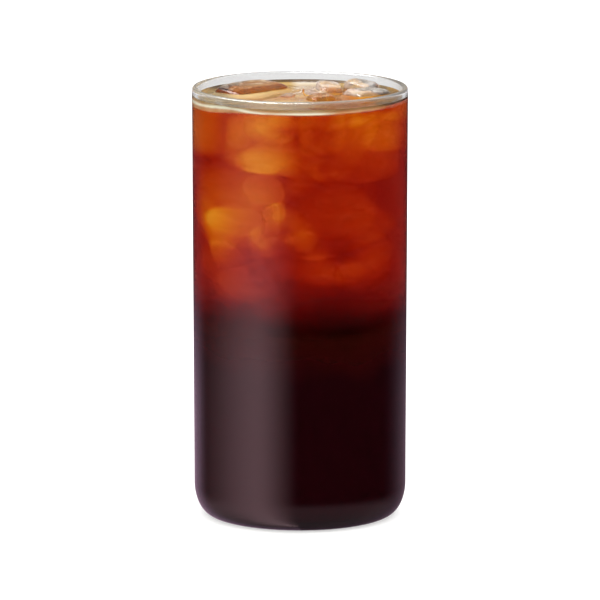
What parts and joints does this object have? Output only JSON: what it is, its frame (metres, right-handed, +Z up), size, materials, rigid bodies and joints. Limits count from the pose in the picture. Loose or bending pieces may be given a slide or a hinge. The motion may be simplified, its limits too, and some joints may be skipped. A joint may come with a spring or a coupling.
{
  "type": "iced americano",
  "caption": "Straight clear tumbler with a rounded foot, brimful of black coffee, with ice cubes breaking the surface.",
  "frame": {"origin": "centre of the flat underside of the glass", "axes": "+Z up along the glass's axis; the side that the picture shows faces -Y, and +X is to the right in the picture"},
  "size_m": [0.073, 0.073, 0.1468],
  "materials": {
    "glass": "clear, polished",
    "coffee": "clear dark brown liquid",
    "ice": "wet, melted smooth"
  },
  "bodies": {
    "root": {"glass": "glass", "coffee": "coffee", "ice_back_left": "ice", "ice_centre": "ice", "ice_right": "ice", "ice_front": "ice", "ice_chip": "ice"}
  },
  "joints": []
}
